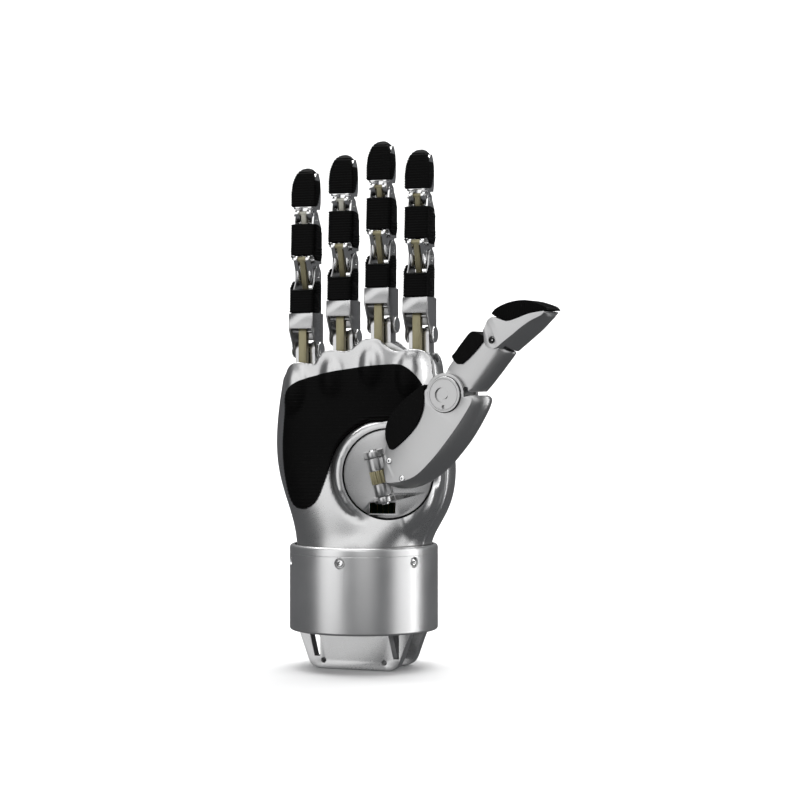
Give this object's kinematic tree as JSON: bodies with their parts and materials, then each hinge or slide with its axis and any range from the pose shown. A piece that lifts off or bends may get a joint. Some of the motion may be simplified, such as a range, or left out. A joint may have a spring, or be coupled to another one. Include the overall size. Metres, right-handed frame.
{
  "type": "prosthetic hand",
  "caption": "Powered right prosthetic hand with jointed fingers, a turning thumb, a metal palm with a soft pad, and a wrist ring with mounting flanges.",
  "frame": {"origin": "middle of the underside of the wrist base plate, inside the lower edge of the wrist ring", "axes": "+Z from the wrist to the fingertips, -Y out of the palm, +X to the thumb side"},
  "size_m": [0.1583, 0.0866, 0.2625],
  "materials": {
    "satin_silver": "bead-blasted satin",
    "brushed_silver": "fine brushed",
    "polished_chrome": "polished",
    "black_rubber": "matt, fine ribs",
    "olive_link": "olive anodised satin",
    "dark_metal": "black satin",
    "circuit_board": "solder mask"
  },
  "bodies": {
    "palm": {"palm_shell": "satin_silver", "back_shell": "satin_silver", "palm_pad": "black_rubber", "wrist_ring": "brushed_silver", "wrist_base": "brushed_silver", "knuckle_frame": "dark_metal", "motor_pack": "dark_metal", "controller_board": "circuit_board", "thumb_drive_motor": "dark_metal", "pinky_knuckle_pin": "polished_chrome", "ring_knuckle_pin": "polished_chrome", "middle_knuckle_pin": "polished_chrome", "index_knuckle_pin": "polished_chrome"},
    "thumb_seat": {"thumb_turntable": "satin_silver", "thumb_hinge_shaft": "polished_chrome"},
    "thumb_base": {"thumb_metacarpal": "satin_silver", "thumb_worm_wheel": "olive_link", "thumb_base_pad": "black_rubber", "thumb_knuckle_cap": "satin_silver"},
    "thumb_middle": {"thumb_proximal": "satin_silver", "thumb_proximal_pad": "black_rubber", "thumb_tip_pin": "polished_chrome"},
    "thumb_end": {"thumb_distal": "satin_silver", "thumb_distal_pad": "black_rubber"},
    "pinky_proximal": {"pinky_proximal_frame": "satin_silver", "pinky_proximal_pad": "black_rubber"},
    "pinky_middle": {"pinky_middle_frame": "polished_chrome", "pinky_middle_pad": "black_rubber"},
    "pinky_distal": {"pinky_distal_frame": "polished_chrome", "pinky_distal_pad": "black_rubber"},
    "pinky_knuckle_rod": {"pinky_knuckle_rod": "olive_link"},
    "pinky_middle_rod": {"pinky_middle_rod": "olive_link"},
    "pinky_tip_rod": {"pinky_tip_rod": "olive_link"},
    "ring_proximal": {"ring_proximal_frame": "satin_silver", "ring_proximal_pad": "black_rubber"},
    "ring_middle": {"ring_middle_frame": "polished_chrome", "ring_middle_pad": "black_rubber"},
    "ring_distal": {"ring_distal_frame": "polished_chrome", "ring_distal_pad": "black_rubber"},
    "ring_knuckle_rod": {"ring_knuckle_rod": "olive_link"},
    "ring_middle_rod": {"ring_middle_rod": "olive_link"},
    "ring_tip_rod": {"ring_tip_rod": "olive_link"},
    "middle_proximal": {"middle_proximal_frame": "satin_silver", "middle_proximal_pad": "black_rubber"},
    "middle_middle": {"middle_middle_frame": "polished_chrome", "middle_middle_pad": "black_rubber"},
    "middle_distal": {"middle_distal_frame": "polished_chrome", "middle_distal_pad": "black_rubber"},
    "middle_knuckle_rod": {"middle_knuckle_rod": "olive_link"},
    "middle_middle_rod": {"middle_middle_rod": "olive_link"},
    "middle_tip_rod": {"middle_tip_rod": "olive_link"},
    "index_proximal": {"index_proximal_frame": "satin_silver", "index_proximal_pad": "black_rubber"},
    "index_middle": {"index_middle_frame": "polished_chrome", "index_middle_pad": "black_rubber"},
    "index_distal": {"index_distal_frame": "polished_chrome", "index_distal_pad": "black_rubber"},
    "index_knuckle_rod": {"index_knuckle_rod": "olive_link"},
    "index_middle_rod": {"index_middle_rod": "olive_link"},
    "index_tip_rod": {"index_tip_rod": "olive_link"}
  },
  "joints": [
    {"name": "thumb_turn", "type": "hinge", "parent": "palm", "child": "thumb_seat", "pos_m": [0.0203, -0.02, 0.078], "axis": [-0.3419, 0.9397, 0], "range_deg": [-50, 40]},
    {"name": "thumb_swing", "type": "hinge", "parent": "thumb_seat", "child": "thumb_base", "pos_m": [0.0178, -0.0259, 0.0767], "axis": [-0.2273, -0.0827, 0.9703], "range_deg": [-40, 5]},
    {"name": "thumb_knuckle", "type": "hinge", "parent": "thumb_base", "child": "thumb_middle", "pos_m": [0.05739, -0.03288, 0.1166], "axis": [0.1736, 0.9848, 0], "range_deg": [-50, 0]},
    {"name": "thumb_tip", "type": "hinge", "parent": "thumb_middle", "child": "thumb_end", "pos_m": [0.08211, -0.03724, 0.1419], "axis": [0.1736, 0.9848, 0], "range_deg": [-45, 0]},
    {"name": "pinky_knuckle", "type": "hinge", "parent": "palm", "child": "pinky_proximal", "pos_m": [-0.0314, 0.003, 0.1395], "axis": [1, 0, 0], "range_deg": [0, 70]},
    {"name": "pinky_middle_joint", "type": "hinge", "parent": "pinky_proximal", "child": "pinky_middle", "pos_m": [-0.0314, 0.003, 0.1775], "axis": [1, 0, 0], "range_deg": [0, 80]},
    {"name": "pinky_tip_joint", "type": "hinge", "parent": "pinky_middle", "child": "pinky_distal", "pos_m": [-0.0314, 0.0005, 0.206], "axis": [1, 0, 0], "range_deg": [0, 48]},
    {"name": "pinky_knuckle_rod_joint", "type": "hinge", "parent": "pinky_proximal", "child": "pinky_knuckle_rod", "pos_m": [-0.0314, -0.003, 0.1485], "axis": [1, 0, 0], "range_deg": [-70, 0]},
    {"name": "pinky_middle_rod_joint", "type": "hinge", "parent": "pinky_middle", "child": "pinky_middle_rod", "pos_m": [-0.0314, -0.0042, 0.1848], "axis": [1, 0, 0], "range_deg": [-60, 0]},
    {"name": "pinky_tip_rod_joint", "type": "hinge", "parent": "pinky_distal", "child": "pinky_tip_rod", "pos_m": [-0.0314, -0.0026, 0.2081], "axis": [1, 0, 0], "range_deg": [-48, 0]},
    {"name": "ring_knuckle", "type": "hinge", "parent": "palm", "child": "ring_proximal", "pos_m": [-0.0111, 0.003, 0.1455], "axis": [1, 0, 0], "range_deg": [0, 70]},
    {"name": "ring_middle_joint", "type": "hinge", "parent": "ring_proximal", "child": "ring_middle", "pos_m": [-0.0111, 0.003, 0.1835], "axis": [1, 0, 0], "range_deg": [0, 80]},
    {"name": "ring_tip_joint", "type": "hinge", "parent": "ring_middle", "child": "ring_distal", "pos_m": [-0.0111, 0.0005, 0.212], "axis": [1, 0, 0], "range_deg": [0, 48]},
    {"name": "ring_knuckle_rod_joint", "type": "hinge", "parent": "ring_proximal", "child": "ring_knuckle_rod", "pos_m": [-0.0111, -0.003, 0.1545], "axis": [1, 0, 0], "range_deg": [-70, 0]},
    {"name": "ring_middle_rod_joint", "type": "hinge", "parent": "ring_middle", "child": "ring_middle_rod", "pos_m": [-0.0111, -0.0042, 0.1908], "axis": [1, 0, 0], "range_deg": [-60, 0]},
    {"name": "ring_tip_rod_joint", "type": "hinge", "parent": "ring_distal", "child": "ring_tip_rod", "pos_m": [-0.0111, -0.0026, 0.2141], "axis": [1, 0, 0], "range_deg": [-48, 0]},
    {"name": "middle_knuckle", "type": "hinge", "parent": "palm", "child": "middle_proximal", "pos_m": [0.0092, 0.003, 0.1515], "axis": [1, 0, 0], "range_deg": [0, 70]},
    {"name": "middle_middle_joint", "type": "hinge", "parent": "middle_proximal", "child": "middle_middle", "pos_m": [0.0092, 0.003, 0.1895], "axis": [1, 0, 0], "range_deg": [0, 80]},
    {"name": "middle_tip_joint", "type": "hinge", "parent": "middle_middle", "child": "middle_distal", "pos_m": [0.0092, 0.0005, 0.218], "axis": [1, 0, 0], "range_deg": [0, 48]},
    {"name": "middle_knuckle_rod_joint", "type": "hinge", "parent": "middle_proximal", "child": "middle_knuckle_rod", "pos_m": [0.0092, -0.003, 0.1605], "axis": [1, 0, 0], "range_deg": [-70, 0]},
    {"name": "middle_middle_rod_joint", "type": "hinge", "parent": "middle_middle", "child": "middle_middle_rod", "pos_m": [0.0092, -0.0042, 0.1968], "axis": [1, 0, 0], "range_deg": [-60, 0]},
    {"name": "middle_tip_rod_joint", "type": "hinge", "parent": "middle_distal", "child": "middle_tip_rod", "pos_m": [0.0092, -0.0026, 0.2201], "axis": [1, 0, 0], "range_deg": [-48, 0]},
    {"name": "index_knuckle", "type": "hinge", "parent": "palm", "child": "index_proximal", "pos_m": [0.0294, 0.003, 0.1465], "axis": [1, 0, 0], "range_deg": [0, 70]},
    {"name": "index_middle_joint", "type": "hinge", "parent": "index_proximal", "child": "index_middle", "pos_m": [0.0294, 0.003, 0.1845], "axis": [1, 0, 0], "range_deg": [0, 80]},
    {"name": "index_tip_joint", "type": "hinge", "parent": "index_middle", "child": "index_distal", "pos_m": [0.0294, 0.0005, 0.213], "axis": [1, 0, 0], "range_deg": [0, 48]},
    {"name": "index_knuckle_rod_joint", "type": "hinge", "parent": "index_proximal", "child": "index_knuckle_rod", "pos_m": [0.0294, -0.003, 0.1555], "axis": [1, 0, 0], "range_deg": [-70, 0]},
    {"name": "index_middle_rod_joint", "type": "hinge", "parent": "index_middle", "child": "index_middle_rod", "pos_m": [0.0294, -0.0042, 0.1918], "axis": [1, 0, 0], "range_deg": [-60, 0]},
    {"name": "index_tip_rod_joint", "type": "hinge", "parent": "index_distal", "child": "index_tip_rod", "pos_m": [0.0294, -0.0026, 0.2151], "axis": [1, 0, 0], "range_deg": [-48, 0]}
  ],
  "couplings": [
    {"joint": "pinky_tip_joint", "follows": "pinky_middle_joint", "ratio": 0.6},
    {"joint": "pinky_knuckle_rod_joint", "follows": "pinky_knuckle", "ratio": -1},
    {"joint": "pinky_middle_rod_joint", "follows": "pinky_middle_joint", "ratio": -0.75},
    {"joint": "pinky_tip_rod_joint", "follows": "pinky_middle_joint", "ratio": -0.6},
    {"joint": "ring_tip_joint", "follows": "ring_middle_joint", "ratio": 0.6},
    {"joint": "ring_knuckle_rod_joint", "follows": "ring_knuckle", "ratio": -1},
    {"joint": "ring_middle_rod_joint", "follows": "ring_middle_joint", "ratio": -0.75},
    {"joint": "ring_tip_rod_joint", "follows": "ring_middle_joint", "ratio": -0.6},
    {"joint": "middle_tip_joint", "follows": "middle_middle_joint", "ratio": 0.6},
    {"joint": "middle_knuckle_rod_joint", "follows": "middle_knuckle", "ratio": -1},
    {"joint": "middle_middle_rod_joint", "follows": "middle_middle_joint", "ratio": -0.75},
    {"joint": "middle_tip_rod_joint", "follows": "middle_middle_joint", "ratio": -0.6},
    {"joint": "index_tip_joint", "follows": "index_middle_joint", "ratio": 0.6},
    {"joint": "index_knuckle_rod_joint", "follows": "index_knuckle", "ratio": -1},
    {"joint": "index_middle_rod_joint", "follows": "index_middle_joint", "ratio": -0.75},
    {"joint": "index_tip_rod_joint", "follows": "index_middle_joint", "ratio": -0.6}
  ]
}
